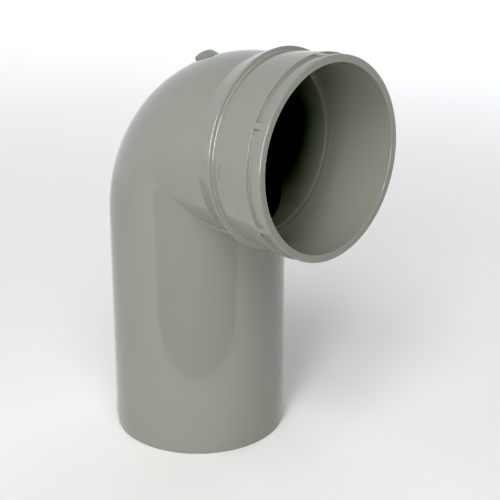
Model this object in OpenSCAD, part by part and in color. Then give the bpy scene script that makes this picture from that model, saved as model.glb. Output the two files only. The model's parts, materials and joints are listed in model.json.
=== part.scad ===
// Grey uPVC 87.5 degree bend with one solvent-weld socket, for pipe of 110 mm
// outside diameter. Millimetres. The origin is the centre of the spigot's open
// end, +Z runs up the spigot and the socket leaves towards +X. The object is one
// moulding, and each module below is one zone of it, closed and meeting its
// neighbours face to face.

/* [Pipe] */
// Outside radius of the spigot, half of the nominal pipe size
pipe_r = 55; // [54.9:0.05:55.2]
// Wall thickness of the spigot and of the bend
wall = 3.2; // [3:0.1:3.6]

/* [Spigot] */
// Length of the straight spigot from its open end to the bend
spigot_length = 142.8; // [120:0.2:180]
// Length of the lead-in at the spigot's open end
lead_in_length = 6; // [4:0.5:10]
// How much the lead-in narrows the spigot's radius
lead_in_drop = 0.7; // [0.3:0.1:1.2]

/* [Bend] */
// Radius of the bend's centre line
bend_r = 56; // [55.5:0.5:80]
// Angle that the bend turns through
bend_angle = 87.5; // [80:0.5:90]

/* [Socket] */
// Radius of the socket's bore, which takes a 110 mm pipe
bore_r = 55.2; // [55.15:0.05:55.4]
// Depth of the socket from its mouth to the pipe stop
socket_depth = 48.4; // [46:0.2:52]
// Distance from the end of the bend to the pipe stop
stop_s = 6.6; // [6:0.2:9]
// Where the flare starts, measured from the end of the bend
flare_s = 2.9; // [1:0.1:4]
// Where the flare ends and steps down to the barrel
step_s = 16.7; // [12:0.1:20]
// Radius of the flare at its edge
flare_r = 60.2; // [59:0.1:62]
// Radius of the barrel where it leaves the step
barrel_back_r = 57.4; // [57:0.1:58.5]
// Radius of the barrel at its front edge
barrel_front_r = 60.2; // [58.5:0.1:60.9]
// Where the barrel's front edge is
front_s = 45.3; // [40:0.1:48]

/* [Mouth] */
// Depth of the groove at the barrel's front edge
groove_depth = 1.6; // [0.5:0.1:2.2]
// Length over which the groove runs out towards the mouth
groove_length = 7.3; // [5:0.1:8]
// Radius of the rim
rim_r = 59.8; // [59:0.1:61]
// Round on the rim's outer edge
rim_round = 0.7; // [0.3:0.1:1.2]
// Length and width of the bevel inside the mouth
mouth_bevel = 0.6; // [0.3:0.1:1.2]
// Number of alignment ribs across the groove
rib_count = 6; // [4:1:8]
// Width of one alignment rib
rib_width = 3.8; // [2:0.2:6]

/* [Crown lug] */
// Angle along the bend at which the lug starts
lug_from = 60.9; // [40:0.1:65]
// Angle along the bend at which the lug ends
lug_to = 70.4; // [66:0.1:80]
// Height of the lug above the bend at its highest point
lug_height = 4; // [2:0.1:6]
// Thickness of the lug across the bend
lug_width = 2.6; // [2:0.2:6]

/* [Witness mark] */
// Radius of the round flat on the side of the barrel
mark_r = 6; // [3:0.5:9]
// Where the middle of the flat is, measured from the end of the bend
mark_s = 27.5; // [24:0.5:36]
// Depth of the flat below the barrel
mark_depth = 0.4; // [0.2:0.05:0.8]

/* [Hidden] */
$fn = 180;
grey = [0.55, 0.55, 0.49];
inner_r = pipe_r - wall;
mouth_s = stop_s + socket_depth;
groove_end_s = front_s + groove_length;
groove_r = barrel_front_r - groove_depth;
edge = 0.5;
past = 1;
bend_end_x = bend_r * (1 - cos(bend_angle));
bend_end_z = spigot_length + bend_r * sin(bend_angle);
flare_slope = (flare_r - pipe_r) / (step_s - flare_s);
barrel_slope = (barrel_front_r - barrel_back_r) / (front_s - step_s);
rib_angle = 2 * asin(rib_width / 2 / barrel_front_r);
lug_profile = [
    [-1, 0.62], [-0.9, 0.74], [-0.5, 0.91], [0, 1], [0.28, 0.98], [0.5, 0.86], [1, 0.1]
];
round_steps = 6;

// Radius of the flare, and of the barrel, at a distance s from the bend's end
function flare_at(s) = pipe_r + flare_slope * (s - flare_s);
function barrel_at(s) = barrel_back_r + barrel_slope * (s - step_s);

// A point at angle a along the bend and radius r from the bend's own axis
function bend_point(a, r) = [bend_r - r * cos(a), spigot_length + r * sin(a)];

// Places its children on the bend: the bend's axis is their Z, and they start
// above the spigot
module on_bend() {
    translate([bend_r, 0, spigot_length])
        mirror([1, 0, 0])
            rotate([90, 0, 0])
                children();
}

// Places its children on the socket: their Z runs out of the mouth, and their
// origin is the end of the bend
module on_socket() {
    translate([bend_end_x, 0, bend_end_z])
        rotate([0, bend_angle, 0])
            children();
}

// Part of the torus that the bend follows, with a tube of radius r
module elbow(r) {
    on_bend()
        rotate_extrude(angle = bend_angle)
            translate([bend_r, 0])
                circle(r);
}

// The chamfered end of the spigot, which guides it into a socket
module spigot_lead_in() {
    color(grey)
        rotate_extrude()
            polygon([
                [inner_r, 0],
                [pipe_r - lead_in_drop, 0],
                [pipe_r, lead_in_length],
                [inner_r, lead_in_length]
            ]);
}

// The straight spigot at pipe size
module spigot_tube() {
    color(grey)
        translate([0, 0, lead_in_length])
            difference() {
                cylinder(r = pipe_r, h = spigot_length - lead_in_length);
                translate([0, 0, -past])
                    cylinder(r = inner_r, h = spigot_length + past);
            }
}

// The curved tube between the spigot and the socket
module bend() {
    color(grey)
        on_bend()
            rotate_extrude(angle = bend_angle)
                translate([bend_r, 0])
                    difference() {
                        circle(pipe_r);
                        circle(inner_r);
                    }
}

// The throat behind the socket, ending in the shoulder that stops the pipe
module socket_root() {
    color(grey)
        on_socket()
            rotate_extrude()
                polygon([
                    [inner_r, 0],
                    [pipe_r, 0],
                    [pipe_r, flare_s],
                    [flare_at(stop_s), stop_s],
                    [inner_r, stop_s]
                ]);
}

// The flared collar round the back of the socket, with its step at the front
module socket_flare() {
    color(grey)
        on_socket()
            rotate_extrude()
                polygon([
                    [bore_r, stop_s],
                    [flare_at(stop_s), stop_s],
                    [flare_at(step_s - edge), step_s - edge],
                    [flare_at(step_s - edge) - edge / 2, step_s],
                    [bore_r, step_s]
                ]);
}

// The barrel that holds the pipe, with a round witness flat on one side
module socket_barrel() {
    color(grey)
        on_socket()
            difference() {
                rotate_extrude()
                    polygon([
                        [bore_r, step_s],
                        [barrel_back_r, step_s],
                        [barrel_at(front_s - edge), front_s - edge],
                        [barrel_front_r - edge / 2, front_s],
                        [bore_r, front_s]
                    ]);
                translate([0, mark_depth - barrel_at(mark_s), mark_s])
                    rotate([90, 0, 0])
                        cylinder(r = mark_r, h = past + mark_depth);
            }
}

// The groove in front of the barrel, deep at the back and running out to the rim
module groove_band() {
    color(grey)
        on_socket()
            rotate_extrude()
                polygon([
                    [bore_r, front_s],
                    [groove_r, front_s],
                    [rim_r, groove_end_s],
                    [bore_r, groove_end_s]
                ]);
}

// The rounded rim at the mouth, bevelled inside to guide the pipe in
module mouth_rim() {
    color(grey)
        on_socket()
            rotate_extrude()
                polygon(concat(
                    [
                        [bore_r, groove_end_s],
                        [rim_r, groove_end_s]
                    ],
                    [
                        for (i = [0:round_steps])
                            let (a = 90 * i / round_steps)
                                [
                                    rim_r - rim_round * (1 - cos(a)),
                                    mouth_s - rim_round * (1 - sin(a))
                                ]
                    ],
                    [
                        [bore_r + mouth_bevel, mouth_s],
                        [bore_r, mouth_s - mouth_bevel]
                    ]
                ));
}

// One alignment rib, which carries the barrel's surface across the groove
module alignment_rib(i) {
    color(grey)
        on_socket()
            rotate([0, 0, 180 + i * 360 / rib_count - rib_angle / 2])
                rotate_extrude(angle = rib_angle)
                    polygon([
                        [groove_r, front_s],
                        [barrel_front_r - edge / 2, front_s],
                        [rim_r, groove_end_s]
                    ]);
}

// The low lug on the crown of the bend, which slopes down towards the socket
module crown_lug() {
    half = (lug_to - lug_from) / 2;
    middle = (lug_to + lug_from) / 2;
    crown = bend_r + pipe_r;
    color(grey)
        difference() {
            translate([0, lug_width / 2, 0])
                rotate([90, 0, 0])
                    linear_extrude(lug_width)
                        polygon(concat(
                            [bend_point(lug_from, crown - past)],
                            [
                                for (p = lug_profile)
                                    bend_point(middle + half * p[0], crown + lug_height * p[1])
                            ],
                            [bend_point(lug_to, crown - past)]
                        ));
            elbow(pipe_r);
        }
}

spigot_lead_in();
spigot_tube();
bend();
socket_root();
socket_flare();
socket_barrel();
groove_band();
mouth_rim();
alignment_rib(0);  // alignment_rib_1
alignment_rib(1);  // alignment_rib_2
alignment_rib(2);  // alignment_rib_3
alignment_rib(3);  // alignment_rib_4
alignment_rib(4);  // alignment_rib_5
alignment_rib(5);  // alignment_rib_6
crown_lug();
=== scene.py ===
# %% [markdown]
# # Grey uPVC bend for 110 mm pipe
# The real object is one injection moulding: a plain spigot, a bend of 87.5 degrees and a socket
# that is glued over the next pipe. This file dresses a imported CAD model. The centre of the
# spigot's open end is the origin, +Z runs up the spigot, and the socket opens towards +X.

import json
import math

import bmesh
import bpy
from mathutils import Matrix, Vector


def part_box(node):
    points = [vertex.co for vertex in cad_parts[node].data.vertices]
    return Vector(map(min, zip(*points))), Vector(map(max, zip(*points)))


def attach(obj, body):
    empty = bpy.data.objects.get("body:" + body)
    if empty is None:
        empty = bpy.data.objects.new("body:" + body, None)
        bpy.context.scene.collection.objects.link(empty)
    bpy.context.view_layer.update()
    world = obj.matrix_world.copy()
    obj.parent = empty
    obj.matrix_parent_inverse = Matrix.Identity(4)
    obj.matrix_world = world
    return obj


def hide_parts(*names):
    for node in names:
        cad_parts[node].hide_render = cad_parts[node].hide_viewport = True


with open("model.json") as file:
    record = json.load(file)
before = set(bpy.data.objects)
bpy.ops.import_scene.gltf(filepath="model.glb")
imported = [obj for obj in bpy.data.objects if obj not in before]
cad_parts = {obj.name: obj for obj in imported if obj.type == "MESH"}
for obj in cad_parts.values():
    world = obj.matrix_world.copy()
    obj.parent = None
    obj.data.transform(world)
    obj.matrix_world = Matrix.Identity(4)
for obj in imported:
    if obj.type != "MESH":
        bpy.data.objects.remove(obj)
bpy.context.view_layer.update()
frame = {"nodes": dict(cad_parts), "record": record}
print("nodes:", sorted(frame["nodes"]))

# %% [markdown]
# ## Driving sizes
# A designer types a size once and lets the rest follow. The mounts in the record give the pipe's
# outside and inside radius, the socket's bore and its direction, and the boxes of two nodes give
# lengths. The bend's own radius isn't in either, so it is written down here. A station is a
# distance along the centre line: up the spigot, round the bend and out through the socket.

# %% Read the driving sizes
MM = 0.001
mounts = {mount["name"]: mount for mount in frame["record"]["mounts"]}
PIPE_R = mounts["spigot"]["dims"]["r_mm"] * MM
INNER_R = mounts["spigot_bore"]["dims"]["r_mm"] * MM
BORE_R = mounts["socket"]["dims"]["r_mm"] * MM
SOCKET_AXIS = Vector(mounts["socket"]["axis"]).normalized()
BEND_ANGLE = math.atan2(SOCKET_AXIS.x, SOCKET_AXIS.z)
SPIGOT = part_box("bend")[0].z
LEAD_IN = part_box("spigot_tube")[0].z
BEND_R = 56.0 * MM
ROOT = SPIGOT + BEND_R * BEND_ANGLE
BEND_END = Vector((BEND_R * (1 - math.cos(BEND_ANGLE)), 0, SPIGOT + BEND_R * math.sin(BEND_ANGLE)))
print(f"bend turns {math.degrees(BEND_ANGLE):.1f} degrees, socket starts at station {ROOT:.4f} m")

# %% [markdown]
# ## The socket's outline
# The socket isn't a plain cylinder. Behind it the wall flares out to a step, then the barrel
# widens slowly to its front edge, where a shallow groove starts and runs out to the rim. Each
# name that ends in `_S` is a distance from the end of the bend, and `_R` is a radius. Three
# straight lines between them describe the outline, and each is a small function.

# %% Socket sizes
STOP_S = 6.6 * MM
FLARE_S = 2.9 * MM
STEP_S = 16.7 * MM
FRONT_S = 45.3 * MM
GROOVE_END_S = 52.6 * MM
MOUTH_S = 55.0 * MM
FLARE_R = 60.2 * MM
BARREL_BACK_R = 57.4 * MM
BARREL_FRONT_R = 60.2 * MM
GROOVE_R = BARREL_FRONT_R - 1.6 * MM
RIM_R = 59.8 * MM


def flare_at(s):
    return PIPE_R + (FLARE_R - PIPE_R) * (s - FLARE_S) / (STEP_S - FLARE_S)


def barrel_at(s):
    return BARREL_BACK_R + (BARREL_FRONT_R - BARREL_BACK_R) * (s - STEP_S) / (FRONT_S - STEP_S)


def groove_at(s):
    return GROOVE_R + (RIM_R - GROOVE_R) * (s - FRONT_S) / (GROOVE_END_S - FRONT_S)


print(f"flare is {flare_at(STOP_S) / MM:.2f} mm in radius at the pipe stop")

# %% [markdown]
# ## One helper for nodes, one for colours
# Material and geometry trees could be drawn by hand in the editors. In a script, one function is
# enough: it adds a node, sets its properties, and fills each input with a value or a link.
# Colours are easier to pick in sRGB, but shader sockets want linear numbers, so one function
# turns a hex colour into them.

# %% Helpers


def add_node(tree, kind, settings=None, inputs=None):
    """Add one node, set its properties, then fill its inputs with values or links."""
    node = tree.nodes.new(kind)
    for key, value in (settings or {}).items():
        setattr(node, key, value)
    for key, value in (inputs or {}).items():
        if isinstance(value, bpy.types.NodeSocket):
            tree.links.new(value, node.inputs[key])
        else:
            node.inputs[key].default_value = value
    return node


def linear(hex_colour):
    """Turn an sRGB hex colour into the linear RGBA that shader sockets want."""
    parts = [int(hex_colour[i : i + 2], 16) / 255 for i in (1, 3, 5)]
    return [p / 12.92 if p <= 0.04045 else ((p + 0.055) / 1.055) ** 2.4 for p in parts] + [1.0]


print("mid grey in linear:", [round(c, 3) for c in linear("#808080")])

# %% [markdown]
# ## A finish for the whole moulding
# The real thing is uPVC: rigid PVC with grey pigment, injected hot against a polished steel
# mould. The eye sees a hard, clear gloss over a flat grey with a touch of green. The gloss comes
# from an IOR of 1.54, PVC's own, and a roughness of 0.08. Shrinkage as the wall cools leaves a
# slow waviness about 9 mm across, drawn here by a faint bump, and the pigment drifts by a shade
# over about 60 mm. Both patterns read Object coordinates, so they run on through the seams
# between pieces.

# %% Grey uPVC
PIGMENT_DRIFT = 60 * MM
SKIN_WAVE = 9 * MM
WAVE_DEPTH = 0.4 * MM


def grey_upvc():
    material = bpy.data.materials.new("upvc_injection_moulded_grey")
    material.use_nodes = True
    tree = material.node_tree
    tree.nodes.clear()
    where = add_node(tree, "ShaderNodeTexCoord").outputs["Object"]
    drift_size = {"Vector": where, "Scale": 1 / PIGMENT_DRIFT, "Detail": 2.0, "Roughness": 0.5}
    drift = add_node(tree, "ShaderNodeTexNoise", {}, drift_size).outputs["Fac"]
    shades = {0: drift, 6: linear("#888C83"), 7: linear("#8C9087")}
    colour = add_node(tree, "ShaderNodeMix", {"data_type": "RGBA"}, shades).outputs[2]
    wave_size = {"Vector": where, "Scale": 1 / SKIN_WAVE, "Detail": 3.0, "Roughness": 0.5}
    wave = add_node(tree, "ShaderNodeTexNoise", {}, wave_size).outputs["Fac"]
    relief = {"Strength": 0.06, "Distance": WAVE_DEPTH, "Height": wave}
    bump = add_node(tree, "ShaderNodeBump", {}, relief).outputs["Normal"]
    gloss = {"Base Color": colour, "Roughness": 0.08, "IOR": 1.54, "Normal": bump}
    shader = add_node(tree, "ShaderNodeBsdfPrincipled", {}, gloss)
    add_node(tree, "ShaderNodeOutputMaterial", {}, {"Surface": shader.outputs[0]})
    return material


UPVC = grey_upvc()
print("finish:", UPVC.name, "with", len(UPVC.node_tree.nodes), "nodes")

# %% [markdown]
# ## The rule that the wall follows
# Every zone of the moulding is a section, such as a rectangle or a stepped outline, carried round
# the same bent centre line. Spin or a curve with a bevel would do for a plain torus. The real
# throat is tighter than that, though: it is almost a sharp corner, while the crown turns on the
# bend's full radius. So the wall is a Geometry Nodes tree. It takes a section mesh, whose X is
# the station and Z the radius, and lays a grid over it: one row for each corner of the section,
# one column for each step round the pipe.
#
# Each column is a fibre of the wall. `arm` is its distance from the bend's own axis. On the crown
# the fibre turns on that arm. In the throat it runs straight on, turns on a small radius, and
# runs straight again. `turn radius` blends between the two, and `run in` is the straight run
# that the tighter turn leaves over at each end.
#
# The sums are easier to read as a table than as sixty boxes. Each line of it becomes one Math
# node: the name of its result, the operation, and its inputs by name or as numbers.

# %% The wall rule's sums
WALL_SUMS = [
    ("rows", "ADD", "points", 1.0),
    ("columns", "ADD", "Around", 1.0),
    ("half past index", "ADD", "index", 0.5),
    ("row share", "DIVIDE", "half past index", "columns"),
    ("row", "FLOOR", "row share"),
    ("row start", "MULTIPLY", "row", "columns"),
    ("column", "SUBTRACT", "index", "row start"),
    ("section corner", "FLOORED_MODULO", "row", "points"),
    ("column turn", "DIVIDE", math.tau, "Around"),
    ("clock", "MULTIPLY", "column", "column turn"),
    ("clock cosine", "COSINE", "clock"),
    ("clock sine", "SINE", "clock"),
    ("up", "MULTIPLY", "radius", "clock cosine"),
    ("side", "MULTIPLY", "radius", "clock sine"),
    ("arm", "ADD", "Bend radius", "up"),
    ("tight", "MINIMUM", "arm", "Throat radius"),
    ("slack", "SUBTRACT", "arm", "tight"),
    ("eased", "MULTIPLY", "blend", "slack"),
    ("turn radius", "ADD", "tight", "eased"),
    ("cut corner", "SUBTRACT", "arm", "turn radius"),
    ("half angle", "DIVIDE", "Bend angle", 2.0),
    ("half tangent", "TANGENT", "half angle"),
    ("run in", "MULTIPLY", "cut corner", "half tangent"),
    ("arc", "MULTIPLY", "turn radius", "Bend angle"),
    ("both runs", "MULTIPLY", "run in", 2.0),
    ("path", "ADD", "both runs", "arc"),
    ("bend length", "MULTIPLY", "Bend radius", "Bend angle"),
    ("past spigot", "SUBTRACT", "station", "Straight"),
    ("bend share", "DIVIDE", "past spigot", "bend length"),
    ("share above", "MAXIMUM", "bend share", 0.0),
    ("share", "MINIMUM", "share above", 1.0),
    ("walked", "MULTIPLY", "share", "path"),
    ("below", "MINIMUM", "past spigot", 0.0),
    ("past bend", "SUBTRACT", "past spigot", "bend length"),
    ("beyond", "MAXIMUM", "past bend", 0.0),
    ("first part", "MINIMUM", "walked", "run in"),
    ("first", "MAXIMUM", "first part", 0.0),
    ("past run", "SUBTRACT", "walked", "run in"),
    ("from run", "MAXIMUM", "past run", 0.0),
    ("on arc", "MINIMUM", "from run", "arc"),
    ("turned", "DIVIDE", "on arc", "turn radius"),
    ("past arc", "SUBTRACT", "past run", "arc"),
    ("last", "MAXIMUM", "past arc", 0.0),
    ("out", "ADD", "last", "beyond"),
    ("turned cosine", "COSINE", "turned"),
    ("turned sine", "SINE", "turned"),
    ("end cosine", "COSINE", "Bend angle"),
    ("end sine", "SINE", "Bend angle"),
    ("arc back", "MULTIPLY", "turn radius", "turned cosine"),
    ("arc rise", "MULTIPLY", "turn radius", "turned sine"),
    ("out along x", "MULTIPLY", "out", "end sine"),
    ("out along z", "MULTIPLY", "out", "end cosine"),
    ("fibre x", "SUBTRACT", "Bend radius", "arm"),
    ("arc centre x", "ADD", "fibre x", "turn radius"),
    ("arc x", "SUBTRACT", "arc centre x", "arc back"),
    ("x", "ADD", "arc x", "out along x"),
    ("lower z", "ADD", "Straight", "below"),
    ("arc centre z", "ADD", "lower z", "first"),
    ("arc z", "ADD", "arc centre z", "arc rise"),
    ("z", "ADD", "arc z", "out along z"),
]
print("sums in the wall rule:", len(WALL_SUMS))

# %% [markdown]
# ## Building the rule as a tree
# The tree's named inputs are its sizes. Round the table stand the few nodes that aren't sums: the
# sample that reads the section, a smooth step for the throat, and the grid. The sample's index
# and the step's value are themselves sums, so those two links are made after the loop. Points
# that meet at the ends of the grid are merged. The tree ends in Realize Instances and Set
# Material, because an exported mesh keeps neither instances nor an unset finish.

# %% The wall rule
SIZE_INPUTS = ("Straight", "Bend radius", "Bend angle", "Throat radius", "Throat from", "Throat to")
WELD = 1e-6


def wall_rule():
    tree = bpy.data.node_groups.new("wall round a bent centre line", "GeometryNodeTree")
    face = tree.interface
    face.new_socket("Section", in_out="INPUT", socket_type="NodeSocketGeometry")
    face.new_socket("Around", in_out="INPUT", socket_type="NodeSocketInt")
    for name in SIZE_INPUTS:
        face.new_socket(name, in_out="INPUT", socket_type="NodeSocketFloat")
    face.new_socket("Material", in_out="INPUT", socket_type="NodeSocketMaterial")
    face.new_socket("Wall", in_out="OUTPUT", socket_type="NodeSocketGeometry")
    given = add_node(tree, "NodeGroupInput").outputs
    made = {name: given[name] for name in ("Around", *SIZE_INPUTS)}

    size = add_node(tree, "GeometryNodeAttributeDomainSize", {}, {"Geometry": given["Section"]})
    made["points"] = size.outputs["Point Count"]
    made["index"] = add_node(tree, "GeometryNodeInputIndex").outputs[0]
    place = add_node(tree, "GeometryNodeInputPosition").outputs[0]
    read = {"Geometry": given["Section"], "Value": place}
    sample = add_node(tree, "GeometryNodeSampleIndex", {"data_type": "FLOAT_VECTOR"}, read)
    corner = add_node(tree, "ShaderNodeSeparateXYZ", {}, {0: sample.outputs["Value"]}).outputs
    made["station"], made["radius"] = corner["X"], corner["Z"]
    limits = {"From Min": made["Throat from"], "From Max": made["Throat to"]}
    smooth = add_node(tree, "ShaderNodeMapRange", {"interpolation_type": "SMOOTHERSTEP"}, limits)
    made["blend"] = smooth.outputs["Result"]
    for name, operation, *parts in WALL_SUMS:
        values = {k: made.get(part, part) for k, part in enumerate(parts)}
        made[name] = add_node(tree, "ShaderNodeMath", {"operation": operation}, values).outputs[0]
    tree.links.new(made["section corner"], sample.inputs["Index"])
    tree.links.new(made["arm"], smooth.inputs["Value"])
    cells = {"Vertices X": made["rows"], "Vertices Y": made["columns"]}
    grid = add_node(tree, "GeometryNodeMeshGrid", {}, cells).outputs["Mesh"]
    spot = {"X": made["x"], "Y": made["side"], "Z": made["z"]}
    point = add_node(tree, "ShaderNodeCombineXYZ", {}, spot).outputs[0]
    wall = add_node(tree, "GeometryNodeSetPosition", {}, {"Geometry": grid, "Position": point})
    weld = {"Geometry": wall.outputs[0], "Distance": WELD}
    wall = add_node(tree, "GeometryNodeMergeByDistance", {}, weld)
    wall = add_node(tree, "GeometryNodeRealizeInstances", {}, {"Geometry": wall.outputs[0]})
    finish = {"Geometry": wall.outputs[0], "Material": given["Material"]}
    wall = add_node(tree, "GeometryNodeSetMaterial", {}, finish)
    add_node(tree, "NodeGroupOutput", {}, {"Wall": wall.outputs[0]})
    return tree


WALL_RULE = wall_rule()
print("nodes in the wall rule:", len(WALL_RULE.nodes))

# %% [markdown]
# ## From a live tree to a plain mesh
# A modifier is handy while a shape is worked on, but the piece that is handed over must be a
# plain mesh. `new_from_object` reads the evaluated result and the working object is removed. The
# faces are then turned outwards, and the shading is smooth except where two faces meet at more
# than 40 degrees, which is where a moulded part has a real corner.

# %% Finishing helpers
CORNER_ANGLE = math.radians(40)


def set_inputs(modifier, values):
    """Fill a Geometry Nodes modifier's inputs, found by name and set by identifier."""
    for item in modifier.node_group.interface.items_tree:
        if item.in_out == "INPUT" and item.name in values:
            modifier[item.identifier] = values[item.name]


def finished(mesh, name):
    """Turn faces outwards, shade smooth except at real corners, and make the mesh an object."""
    build = bmesh.new()
    build.from_mesh(mesh)
    bmesh.ops.remove_doubles(build, verts=build.verts, dist=WELD)
    bmesh.ops.recalc_face_normals(build, faces=build.faces)
    open_edges = sum(1 for edge in build.edges if not edge.is_manifold)
    build.to_mesh(mesh)
    build.free()
    mesh.shade_smooth()
    mesh.set_sharp_from_angle(angle=CORNER_ANGLE)
    mesh.name = name
    piece = bpy.data.objects.new(name, mesh)
    bpy.context.scene.collection.objects.link(piece)
    print(f"{name}: {len(mesh.polygons)} faces, {open_edges} open edges")
    return piece


def settle(work, name):
    """Turn an object with live modifiers into a plain mesh, and remove the working object."""
    bpy.context.view_layer.update()
    evaluated = work.evaluated_get(bpy.context.evaluated_depsgraph_get())
    mesh = bpy.data.meshes.new_from_object(evaluated)
    bpy.data.objects.remove(work)
    return finished(mesh, name)


def keep(piece, *nodes):
    """Parent a finished piece to the one body, and hide the CAD nodes that it stands for."""
    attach(piece, "root")
    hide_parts(*nodes)


print(f"faces that meet at over {math.degrees(CORNER_ANGLE):.0f} degrees stay sharp")

# %% [markdown]
# ## Sections with real corners
# No moulded corner is perfectly sharp: the mould's own edges are rounded, and the round is what
# catches the light as a thin line. A section is therefore a list of corners, each with a station,
# a radius and the size of its round. A Bevel modifier could round the finished wall, but it would
# treat the seams between zones as corners too. Straight stretches are cut into short steps, so
# that the faces stay fine enough where the wall bends.

# %% Section helper
ROUND_TURNS = 6


def rounded(corners, step):
    """A closed section from (station, radius, round) corners, with arcs and short straights."""
    points = []
    total = len(corners)
    for i, (s, r, size) in enumerate(corners):
        here = Vector((s, r))
        if size == 0:
            points.append(here)
            continue
        before = (Vector(corners[i - 1][:2]) - here).normalized()
        after = (Vector(corners[(i + 1) % total][:2]) - here).normalized()
        half = before.angle(after) / 2
        centre = here + (before + after).normalized() * size / math.sin(half)
        start = here + before * size / math.tan(half) - centre
        end = here + after * size / math.tan(half) - centre
        sweep = math.pi - 2 * half
        for k in range(ROUND_TURNS + 1):
            share = k / ROUND_TURNS
            from_start, from_end = math.sin((1 - share) * sweep), math.sin(share * sweep)
            points.append(centre + (start * from_start + end * from_end) / math.sin(sweep))
    closed = []
    for i, here in enumerate(points):
        there = points[(i + 1) % len(points)]
        cuts = max(1, math.ceil((there - here).length / step))
        closed += [here.lerp(there, k / cuts) for k in range(cuts)]
    return closed


print("points on one round corner:", ROUND_TURNS + 1)

# %% [markdown]
# ## Carrying a section round the line
# Eight pieces are made in the same way, so the steps are written once: make the section a mesh
# of edges, put the wall rule on it, and settle the result.
# The three throat sizes say how tight the inside corner is: fibres closer than 26 mm to the
# bend's axis turn on 1.5 mm, those beyond 80 mm turn on their full arm, and the rest lie between.

# %% Wall helper
THROAT = {"Throat radius": 1.5 * MM, "Throat from": 26 * MM, "Throat to": 80 * MM}
BEND_SIZES = {"Straight": SPIGOT, "Bend radius": BEND_R, "Bend angle": BEND_ANGLE}


def walled(name, corners, step, around=192):
    """Carry a section round the centre line with the wall rule."""
    points = rounded(corners, step)
    mesh = bpy.data.meshes.new(name + " section")
    edges = [(i, (i + 1) % len(points)) for i in range(len(points))]
    mesh.from_pydata([(point.x, 0, point.y) for point in points], edges, [])
    work = bpy.data.objects.new(name + " section", mesh)
    bpy.context.scene.collection.objects.link(work)
    modifier = work.modifiers.new("wall", "NODES")
    modifier.node_group = WALL_RULE
    set_inputs(modifier, {"Around": around, "Material": UPVC, **BEND_SIZES, **THROAT})
    return settle(work, name)


print("throat sizes in mm:", [round(size / MM, 1) for size in THROAT.values()])

# %% [markdown]
# ## Seams
# Neighbouring pieces meet face to face. The seams could lie just where the CAD nodes end, but
# some of those places are steps, whose rounds would be cut in two. There the seam is moved a
# little way on to smooth wall, so that the whole round belongs to one piece.

# %% Seams
SEAM_LEAD = LEAD_IN + 2 * MM
SEAM_FLARE = STEP_S + 3 * MM
SEAM_GROOVE = FRONT_S + 0.9 * MM
SEAM_RIM = GROOVE_END_S + 0.9 * MM
print(f"seams on the socket: {SEAM_FLARE / MM:.1f}, {SEAM_GROOVE / MM:.1f}, {SEAM_RIM / MM:.1f} mm")

# %% [markdown]
# ## Spigot
# The spigot is the plain end that goes into another fitting. Its last 6 mm narrow slightly, so
# that it starts straight and carries the cement in with it. A cylinder with a bevel would look
# much the same, but the wall rule keeps the rows of faces in line with the bend's.

# %% Lead-in and spigot
LEAD_IN_DROP = 0.7 * MM
keep(
    walled(
        "lead_in_wall",
        [
            (0, INNER_R, 0.4 * MM),
            (0, PIPE_R - LEAD_IN_DROP, 0.7 * MM),
            (LEAD_IN, PIPE_R, 4 * MM),
            (SEAM_LEAD, PIPE_R, 0),
            (SEAM_LEAD, INNER_R, 0),
        ],
        step=1 * MM,
    ),
    "spigot_lead_in",
)
keep(
    walled(
        "spigot_wall",
        [
            (SEAM_LEAD, INNER_R, 0),
            (SEAM_LEAD, PIPE_R, 0),
            (SPIGOT, PIPE_R, 0),
            (SPIGOT, INNER_R, 0),
        ],
        step=3 * MM,
    ),
    "spigot_tube",
)

# %% [markdown]
# ## Bend
# The bend is the curved wall between the two ends. Spinning a circle would give an even torus,
# whose throat is rounder than the real one. Here the section is a plain rectangle, and the rule
# does the rest. The steps are short, because the throat is where the surface turns fastest.

# %% Bend
keep(
    walled(
        "bend_wall",
        [(SPIGOT, INNER_R, 0), (SPIGOT, PIPE_R, 0), (ROOT, PIPE_R, 0), (ROOT, INNER_R, 0)],
        step=0.8 * MM,
    ),
    "bend",
)

# %% [markdown]
# ## Back of the socket
# The root holds the shoulder that stops the pipe. The flare thickens the socket's back end and
# drops to the barrel in a step of under 3 mm. Loop cuts scaled by hand could give this outline,
# but its sizes would then be hidden in the mesh, and here they can be read. The step's outer
# edge has a round of 0.8 mm and its foot one of 0.9 mm, which together make the thin dark line
# with a bright edge.

# %% Root and flare
STEP_RUN = 0.6 * MM
keep(
    walled(
        "socket_root_wall",
        [
            (ROOT, INNER_R, 0),
            (ROOT, PIPE_R, 0),
            (ROOT + FLARE_S, PIPE_R, 3 * MM),
            (ROOT + STOP_S, flare_at(STOP_S), 0),
            (ROOT + STOP_S, BORE_R, 0),
            (ROOT + STOP_S, INNER_R, 0.5 * MM),
        ],
        step=0.8 * MM,
    ),
    "socket_root",
)
keep(
    walled(
        "flare_wall",
        [
            (ROOT + STOP_S, BORE_R, 0),
            (ROOT + STOP_S, flare_at(STOP_S), 0),
            (ROOT + STEP_S, FLARE_R, 0.8 * MM),
            (ROOT + STEP_S + STEP_RUN, barrel_at(STEP_S), 0.9 * MM),
            (ROOT + SEAM_FLARE, barrel_at(SEAM_FLARE), 0),
            (ROOT + SEAM_FLARE, BORE_R, 0),
        ],
        step=0.8 * MM,
    ),
    "socket_flare",
)

# %% [markdown]
# ## Groove and rim
# In front of the barrel the wall drops into a groove that runs out to the rim. A ring could be
# cut out of a finished wall, but a groove that is part of the section keeps clean rows of faces.
# The rim's outer and inner corners are rounded, and the inner one guides the pipe in.

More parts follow.
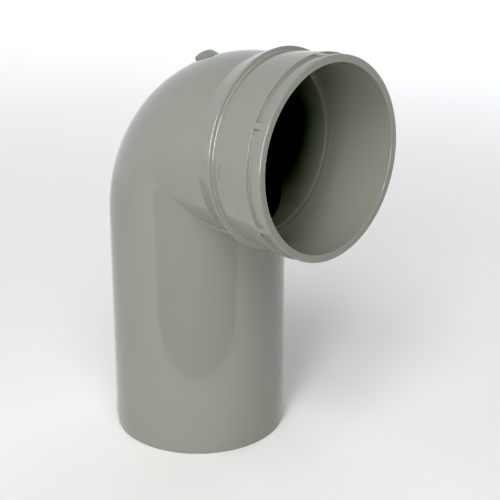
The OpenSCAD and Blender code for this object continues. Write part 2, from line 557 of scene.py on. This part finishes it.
# %% Groove and rim
keep(
    walled(
        "groove_wall",
        [
            (ROOT + SEAM_GROOVE, BORE_R, 0),
            (ROOT + SEAM_GROOVE, groove_at(SEAM_GROOVE), 0),
            (ROOT + GROOVE_END_S, RIM_R, 5 * MM),
            (ROOT + SEAM_RIM, RIM_R, 0),
            (ROOT + SEAM_RIM, BORE_R, 0),
        ],
        step=0.8 * MM,
    ),
    "groove_band",
)
keep(
    walled(
        "rim_wall",
        [
            (ROOT + SEAM_RIM, BORE_R, 0),
            (ROOT + SEAM_RIM, RIM_R, 0),
            (ROOT + MOUTH_S, RIM_R, 0.7 * MM),
            (ROOT + MOUTH_S, BORE_R, 0.6 * MM),
        ],
        step=0.5 * MM,
    ),
    "mouth_rim",
)

# %% [markdown]
# ## Barrel with its witness flat
# The barrel carries a faint round flat on one side, left by a pin of the mould. It is a shallow
# cut into a wall that curves and widens, so its edge is an odd outline that would be slow to
# draw. A boolean finds it: a short cylinder of 96 sides, set square to the flat, is taken away
# from the wall. The cut is tilted by 1.6 degrees from the barrel, so that it is deepest at the
# back and runs out towards the mouth. The cutter brings its own slot list, so the finish is set
# again afterwards.

# %% Barrel
EDGE_RUN = 0.2 * MM
MARK_S = 27.5 * MM
MARK_R = 6.0 * MM
MARK_DEPTH = 0.32 * MM
CUTTER_HEIGHT = 8 * MM
BARREL_SLOPE = math.atan((BARREL_FRONT_R - BARREL_BACK_R) / (FRONT_S - STEP_S))
MARK_TILT = BARREL_SLOPE + math.radians(1.6)


def witness_cutter():
    mesh = bpy.data.meshes.new("cutter")
    build = bmesh.new()
    size = {"radius1": MARK_R, "radius2": MARK_R, "depth": CUTTER_HEIGHT}
    bmesh.ops.create_cone(build, cap_ends=True, segments=96, **size)
    build.to_mesh(mesh)
    build.free()
    mesh.materials.append(UPVC)
    cutter = bpy.data.objects.new("cutter", mesh)
    bpy.context.scene.collection.objects.link(cutter)
    outward = (Vector((0, -1, 0)) - SOCKET_AXIS * math.tan(MARK_TILT)).normalized()
    side = Vector((0, -1, 0)) * (barrel_at(MARK_S) - MARK_DEPTH)
    cutter.location = BEND_END + SOCKET_AXIS * MARK_S + side + outward * CUTTER_HEIGHT / 2
    cutter.rotation_mode = "QUATERNION"
    cutter.rotation_quaternion = outward.to_track_quat("Z", "X")
    return cutter


def cut_witness_flat(barrel):
    cutter = witness_cutter()
    cut = barrel.modifiers.new("witness flat", "BOOLEAN")
    cut.operation = "DIFFERENCE"
    cut.solver = "EXACT"
    cut.object = cutter
    name = barrel.name
    barrel.name = name + " uncut"
    piece = settle(barrel, name)
    bpy.data.objects.remove(cutter)
    piece.data.materials.clear()
    piece.data.materials.append(UPVC)
    return piece


barrel_section = [
    (ROOT + SEAM_FLARE, BORE_R, 0),
    (ROOT + SEAM_FLARE, barrel_at(SEAM_FLARE), 0),
    (ROOT + FRONT_S, BARREL_FRONT_R, 0.35 * MM),
    (ROOT + FRONT_S + EDGE_RUN, groove_at(FRONT_S), 0.25 * MM),
    (ROOT + SEAM_GROOVE, groove_at(SEAM_GROOVE), 0),
    (ROOT + SEAM_GROOVE, BORE_R, 0),
]
whole_barrel = walled("barrel_wall", barrel_section, step=0.8 * MM, around=256)
keep(cut_witness_flat(whole_barrel), "socket_barrel")

# %% [markdown]
# ## Crown lug
# A low fin stands on the crown of the bend, just behind the socket. It starts with a steep face
# on the spigot's side, rises to 4 mm and slopes down towards the socket. An extruded curve with a
# bevel could make it. Here its side outline follows the bend, so each corner is given by its
# place along the lug and its share of the height, and both become a point round the bend's axis.
# The outline sinks 1.2 mm into the wall, so that no gap opens under it.

# %% Crown lug
LUG_FROM, LUG_TO = math.radians(60.9), math.radians(70.4)
LUG_HEIGHT = 4.0 * MM
LUG_WIDTH = 2.6 * MM
LUG_SINK = 1.2 * MM
LUG_ROUND = 0.45 * MM
LUG_PROFILE = [
    (-1, 0.62),
    (-0.9, 0.74),
    (-0.5, 0.91),
    (0, 1),
    (0.28, 0.98),
    (0.5, 0.86),
    (1, 0.1),
]


def crown_lug():
    middle, half = (LUG_FROM + LUG_TO) / 2, (LUG_TO - LUG_FROM) / 2
    crown = BEND_R + PIPE_R
    top = [(middle + u * half, crown + LUG_HEIGHT * rise) for u, rise in LUG_PROFILE]
    outline = [(LUG_FROM, crown - LUG_SINK), *top, (LUG_TO, crown - LUG_SINK)]
    build = bmesh.new()
    rings = []
    for y in (-LUG_WIDTH / 2, LUG_WIDTH / 2):
        spots = [(BEND_R - r * math.cos(a), y, SPIGOT + r * math.sin(a)) for a, r in outline]
        rings.append([build.verts.new(spot) for spot in spots])
    near = build.faces.new(rings[0])
    far = build.faces.new(list(reversed(rings[1])))
    for i in range(len(outline)):
        j = (i + 1) % len(outline)
        build.faces.new((rings[0][i], rings[1][i], rings[1][j], rings[0][j]))
    side_edges = [edge for face in (near, far) for edge in face.edges]
    softening = {"offset": LUG_ROUND, "segments": 3, "profile": 0.5, "affect": "EDGES"}
    bmesh.ops.bevel(build, geom=side_edges, **softening)
    mesh = bpy.data.meshes.new("lug")
    build.to_mesh(mesh)
    build.free()
    mesh.materials.append(UPVC)
    return finished(mesh, "crown_lug_block")


keep(crown_lug(), "crown_lug")

# %% [markdown]
# ## One alignment rib
# Six short ribs carry the barrel's surface across the groove to the rim. Only one is modelled: a
# side outline, repeated at five places across the rib's width so that its top follows the
# barrel's curve. It stands 0.03 mm proud of the wall and sinks 0.5 mm into it, so that the two
# surfaces never lie in the same place. It is made round the Z axis, facing away from the crown.

# %% One rib
RIB_COUNT = 6
RIB_WIDTH = 3.8 * MM
RIB_PROUD = 0.03 * MM
RIB_SINK = 0.5 * MM
RIB_ROUND = 0.25 * MM
RIB_BACK_S = FRONT_S - 0.9 * MM
RIB_FRONT_S = GROOVE_END_S + 0.6 * MM
RIB_SIDE = [
    (RIB_BACK_S, barrel_at(RIB_BACK_S) - RIB_SINK),
    (RIB_BACK_S, barrel_at(RIB_BACK_S) + RIB_PROUD),
    (FRONT_S, BARREL_FRONT_R + RIB_PROUD),
    (RIB_FRONT_S, RIM_R + RIB_PROUD),
    (RIB_FRONT_S, RIM_R - RIB_SINK),
    (FRONT_S, GROOVE_R - RIB_SINK),
]


def one_rib():
    build = bmesh.new()
    rows = []
    for across in (-1, -0.5, 0, 0.5, 1):
        clock = math.pi + across * RIB_WIDTH / 2 / BARREL_FRONT_R
        spots = [(r * math.cos(clock), r * math.sin(clock), s) for s, r in RIB_SIDE]
        rows.append([build.verts.new(spot) for spot in spots])
    for low, high in zip(rows, rows[1:]):
        for i in range(len(RIB_SIDE)):
            j = (i + 1) % len(RIB_SIDE)
            build.faces.new((low[i], low[j], high[j], high[i]))
    ends = [build.faces.new(rows[0]), build.faces.new(rows[-1])]
    bmesh.ops.recalc_face_normals(build, faces=build.faces)
    top_edges = []
    for edge in [edge for face in ends for edge in face.edges]:
        if all(math.hypot(v.co.x, v.co.y) > RIM_R - 0.1 * MM for v in edge.verts):
            top_edges.append(edge)
    softening = {"offset": RIB_ROUND, "segments": 2, "profile": 0.5, "affect": "EDGES"}
    bmesh.ops.bevel(build, geom=top_edges, **softening)
    mesh = bpy.data.meshes.new("rib")
    build.to_mesh(mesh)
    build.free()
    return mesh


rib_mesh = one_rib()
print("faces in one rib:", len(rib_mesh.polygons))

# %% [markdown]
# ## The ring of ribs
# What repeats evenly round an axis is a task for instances: a point for each rib, the rib put on
# every point, and each turned by its own share of a full turn. An Array modifier with an offset
# object would do it as well, but needs an empty that has to be turned by hand. The whole ring is
# then tilted with the socket and moved to the end of the bend.

# %% Ring of ribs


def rib_ring():
    tree = bpy.data.node_groups.new("ribs round an axis", "GeometryNodeTree")
    face = tree.interface
    face.new_socket("Rib", in_out="INPUT", socket_type="NodeSocketGeometry")
    face.new_socket("Count", in_out="INPUT", socket_type="NodeSocketInt")
    face.new_socket("Centre", in_out="INPUT", socket_type="NodeSocketVector")
    face.new_socket("Tilt", in_out="INPUT", socket_type="NodeSocketFloat")
    face.new_socket("Material", in_out="INPUT", socket_type="NodeSocketMaterial")
    face.new_socket("Ribs", in_out="OUTPUT", socket_type="NodeSocketGeometry")
    given = add_node(tree, "NodeGroupInput").outputs
    points = add_node(tree, "GeometryNodePoints", {}, {"Count": given["Count"]}).outputs[0]
    index = add_node(tree, "GeometryNodeInputIndex").outputs[0]
    divide, multiply = {"operation": "DIVIDE"}, {"operation": "MULTIPLY"}
    share = add_node(tree, "ShaderNodeMath", divide, {0: math.tau, 1: given["Count"]}).outputs[0]
    turn = add_node(tree, "ShaderNodeMath", multiply, {0: index, 1: share}).outputs[0]
    spin = add_node(tree, "ShaderNodeCombineXYZ", {}, {"Z": turn}).outputs[0]
    placing = {"Points": points, "Instance": given["Rib"], "Rotation": spin}
    ribs = add_node(tree, "GeometryNodeInstanceOnPoints", {}, placing).outputs[0]
    lean = add_node(tree, "ShaderNodeCombineXYZ", {}, {"Y": given["Tilt"]}).outputs[0]
    moving = {"Geometry": ribs, "Translation": given["Centre"], "Rotation": lean}
    ribs = add_node(tree, "GeometryNodeTransform", {}, moving).outputs[0]
    ribs = add_node(tree, "GeometryNodeRealizeInstances", {}, {"Geometry": ribs}).outputs[0]
    finish = {"Geometry": ribs, "Material": given["Material"]}
    ribs = add_node(tree, "GeometryNodeSetMaterial", {}, finish).outputs[0]
    add_node(tree, "NodeGroupOutput", {}, {"Ribs": ribs})
    return tree


rib_work = bpy.data.objects.new("rib", rib_mesh)
bpy.context.scene.collection.objects.link(rib_work)
ring = rib_work.modifiers.new("ribs", "NODES")
ring.node_group = rib_ring()
places = {"Centre": BEND_END, "Tilt": BEND_ANGLE}
set_inputs(ring, {"Count": RIB_COUNT, "Material": UPVC, **places})
rib_names = [f"alignment_rib_{i + 1}" for i in range(RIB_COUNT)]
keep(settle(rib_work, "alignment_ribs"), *rib_names)

# %% [markdown]
# ## Floor
# The part stands on a wide disc of matt white paper. A curved backdrop would hide the disc's far
# edge, but the glossy pipe would still mirror it as a hard line. So the floor is kept out of
# reflections, and the next cell gives them a surface of their own.

# %% Floor
FLOOR_RADIUS = 1.5
WHITE_PAPER = linear("#F9F9F9")


def disc(name, radius, height):
    """A flat round sheet at a small height, as a mesh."""
    mesh = bpy.data.meshes.new(name)
    build = bmesh.new()
    bmesh.ops.create_circle(build, cap_ends=True, segments=128, radius=radius)
    bmesh.ops.translate(build, verts=build.verts, vec=(0, 0, height))
    build.to_mesh(mesh)
    build.free()
    return mesh


def plain_stuff(name, colour, roughness):
    """A studio sheet's finish: one colour and one roughness."""
    stuff = bpy.data.materials.new(name)
    stuff.use_nodes = True
    shader = stuff.node_tree.nodes["Principled BSDF"]
    shader.inputs["Base Color"].default_value = colour
    shader.inputs["Roughness"].default_value = roughness
    return stuff


paper = plain_stuff("matt_white_floor", WHITE_PAPER, 0.9)
floor_mesh = disc("floor", FLOOR_RADIUS, 0)
floor_mesh.materials.append(paper)
floor = bpy.data.objects.new("floor", floor_mesh)
bpy.context.scene.collection.objects.link(floor)
floor.visible_glossy = False
print("floor radius:", FLOOR_RADIUS, "m")

# %% [markdown]
# ## What the gloss reflects below
# A product table is often a small bright sweep with a dark card laid on it. Both are here as
# props that reflections see and the camera, the shadows and the bounced light don't. The sweep
# gives the lower spigot its pale reflection. The card starts 10 cm in front of the spigot and
# widens away from it, so its mirror image on the round pipe is a dark U. Painting that U into
# the material would be quicker, but it would slide off when the view changes.

# %% Sweep and card
SWEEP_RADIUS = 0.8
SWEEP_HEIGHT = 0.3 * MM
CARD_HEIGHT = 1 * MM
CARD_AZIMUTH = math.radians(43)
DARK_FELT = linear("#595959")
CARD_HALF = [(0.14, 0.157), (0.2, 0.18), (1.2, 0.85), (1.2, 1.6)]
CARD = [(-0.14, 0.157), *CARD_HALF, *[(-x, y) for x, y in reversed(CARD_HALF[1:])]]


def mirror_only(name, mesh):
    """Put a studio prop in the scene that is seen in reflections and nowhere else."""
    prop = bpy.data.objects.new(name, mesh)
    bpy.context.scene.collection.objects.link(prop)
    prop.visible_camera = False
    prop.visible_diffuse = False
    prop.visible_shadow = False
    return prop


sweep_mesh = disc("bright_sweep", SWEEP_RADIUS, SWEEP_HEIGHT)
sweep_mesh.materials.append(paper)
mirror_only("bright_sweep", sweep_mesh)

card_cos, card_sin = math.cos(CARD_AZIMUTH), math.sin(CARD_AZIMUTH)
card_spots = [(x * card_cos + y * card_sin, x * card_sin - y * card_cos) for x, y in CARD]
card_mesh = bpy.data.meshes.new("dark_card")
card_mesh.from_pydata([(x, y, CARD_HEIGHT) for x, y in card_spots], [], [range(len(CARD))])
card_mesh.materials.append(plain_stuff("grey_felt_card", DARK_FELT, 1.0))
mirror_only("dark_card", card_mesh)
print("corners of the dark card:", len(CARD))

# %% [markdown]
# ## The tent
# Small glossy things are often lit inside a white tent, which shows in the gloss as an even pale
# field. A large dome mesh could stand in for it, but a world background does the same without
# any mesh. Lit fully it would also flatten the form, so the Light Path node makes it bright only
# for rays from a mirror surface or the camera, and faint for bounced light.

# %% World
TENT_COLOUR = (0.96, 1.0, 1.03, 1)
TENT_SEEN, TENT_FELT = 1.0, 0.05
world = bpy.data.worlds.new("studio")
bpy.context.scene.world = world
world.use_nodes = True
tent = world.node_tree
tent.nodes.clear()
ray = add_node(tent, "ShaderNodeLightPath").outputs
direct = {0: ray["Is Glossy Ray"], 1: ray["Is Camera Ray"]}
seen = add_node(tent, "ShaderNodeMath", {"operation": "MAXIMUM"}, direct).outputs[0]
range_of_glow = {"Value": seen, "To Min": TENT_FELT, "To Max": TENT_SEEN}
glow = add_node(tent, "ShaderNodeMapRange", {}, range_of_glow).outputs["Result"]
sky = {"Color": TENT_COLOUR, "Strength": glow}
sky = add_node(tent, "ShaderNodeBackground", {}, sky).outputs[0]
add_node(tent, "ShaderNodeOutputWorld", {}, {"Surface": sky})
print("tent strength, seen and felt:", TENT_SEEN, TENT_FELT)

# %% [markdown]
# ## Softboxes
# Each lamp is an area light on a circle round the object. Its brightness is given per square
# metre, so a larger box isn't a harsher one, and the power in watts follows from its size. The
# key comes from the front, with a boom and a fill above it and a small lamp near the top. Seen
# from the camera, a large soft wall in three parts stands on the left, and two cool strips stand
# behind on the right. Lamps could be seen in the gloss too, but their hard outlines would cut it
# up, so they are hidden there, and the tent and the cards are what it mirrors.

# %% Softboxes
AIM = Vector((0.05, 0, 0.13))
LAMP_DISTANCE = 1.7
NEUTRAL, WARM, COOL = (1, 1, 1), (1.0, 0.99, 0.97), (0.95, 1.0, 1.04)
LAMPS = [
    ("key_softbox", 27, 17, (0.4, 1.2), 9.3, WARM),
    ("key_boom", 24, 50, (0.6, 0.5), 5.0, WARM),
    ("fill_over_camera", 43, 50, (0.9, 0.9), 5.2, WARM),
    ("top_lamp", 43, 75, (0.25, 0.25), 6.4, NEUTRAL),
    ("left_wall_back", 240, 20, (1.2, 1.2), 2.0, NEUTRAL),
    ("left_wall", 280, 20, (1.2, 1.2), 0.5, NEUTRAL),
    ("left_wall_front", 310, 20, (0.8, 1.2), 0.65, NEUTRAL),
    ("right_strip", 200, 15, (0.6, 0.8), 4.6, COOL),
    ("right_strip_back", 180, 15, (0.6, 0.8), 2.6, COOL),
]


def direction(azimuth, elevation):
    """The way from the object to a lamp. Azimuth 0 is in front on -Y, and 90 is on +X."""
    a, e = math.radians(azimuth), math.radians(elevation)
    return Vector((math.sin(a) * math.cos(e), -math.cos(a) * math.cos(e), math.sin(e)))


for name, azimuth, elevation, size, radiance, colour in LAMPS:
    way = direction(azimuth, elevation)
    light = bpy.data.lights.new(name, "AREA")
    light.shape = "RECTANGLE"
    light.size, light.size_y = size
    light.energy = radiance * math.pi * size[0] * size[1]
    light.color = colour
    lamp = bpy.data.objects.new(name, light)
    lamp.visible_glossy = False
    lamp.location = AIM + LAMP_DISTANCE * way
    lamp.rotation_mode = "QUATERNION"
    lamp.rotation_quaternion = (-way).to_track_quat("-Z", "Y")
    bpy.context.scene.collection.objects.link(lamp)
print("softboxes:", len(LAMPS))

# %% [markdown]
# ## A strip for the thin glints
# The bright lines along the rings are one tall strip, mirrored in every small round. An area
# light that shows in reflections could do it, but it is sampled as a lamp and adds grain. So
# this is a card with an Emission shader, which Cycles is told not to sample.

# %% Glint card
STRIP_SIZE = (0.35, 1.3)
STRIP_RADIANCE = 35
strip_way = direction(20, 20)
strip_glow = bpy.data.materials.new("edge_strip_glow")
strip_glow.use_nodes = True
strip_glow.node_tree.nodes.clear()
emission = add_node(strip_glow.node_tree, "ShaderNodeEmission", {}, {"Strength": STRIP_RADIANCE})
shine = {"Surface": emission.outputs[0]}
add_node(strip_glow.node_tree, "ShaderNodeOutputMaterial", {}, shine)
strip_glow.cycles.emission_sampling = "NONE"
strip_mesh = bpy.data.meshes.new("edge_strip")
x, y = STRIP_SIZE[0] / 2, STRIP_SIZE[1] / 2
strip_mesh.from_pydata([(-x, -y, 0), (x, -y, 0), (x, y, 0), (-x, y, 0)], [], [(0, 1, 2, 3)])
strip_mesh.materials.append(strip_glow)
strip = mirror_only("edge_strip", strip_mesh)
strip.location = AIM + LAMP_DISTANCE * strip_way
strip.rotation_mode = "QUATERNION"
strip.rotation_quaternion = strip_way.to_track_quat("Z", "Y")
print("edge strip stands at", [round(c, 2) for c in strip.location])

# %% [markdown]
# ## Camera
# The camera stands 0.86 m away, a little above the bend, and looks at the middle of the part
# with a lens of about 100 mm, which keeps the pipe's sides close to parallel. A wider lens
# closer by would make the socket look larger than it is. The Standard view keeps the grey as it
# is, and a black level of 0.03 gives the bore its depth.

# %% Camera
CAMERA_AZIMUTH, CAMERA_ELEVATION = 43.11, 21.72
CAMERA_TARGET = Vector((0.04528, 0, 0.12927))
CAMERA_DISTANCE = 0.8642
BLACK_LEVEL = 0.03
back = direction(CAMERA_AZIMUTH, CAMERA_ELEVATION)
camera_data = bpy.data.cameras.new("camera")
camera_data.lens = 101.65
camera_data.sensor_width = 36
camera = bpy.data.objects.new("camera", camera_data)
camera.location = CAMERA_TARGET + CAMERA_DISTANCE * back
camera.rotation_mode = "QUATERNION"
camera.rotation_quaternion = (-back).to_track_quat("-Z", "Y")
bpy.context.scene.collection.objects.link(camera)
bpy.context.scene.camera = camera
look = bpy.context.scene.view_settings
look.view_transform = "Standard"
look.use_curve_mapping = True
look.curve_mapping.black_level = (BLACK_LEVEL, BLACK_LEVEL, BLACK_LEVEL)
look.curve_mapping.update()
print("camera stands at", [round(c, 3) for c in camera.location])

# %% [markdown]
# ## The last update
# The view layer is updated once more, so that every object's place is current.

# %% Update the view layer
bpy.context.view_layer.update()
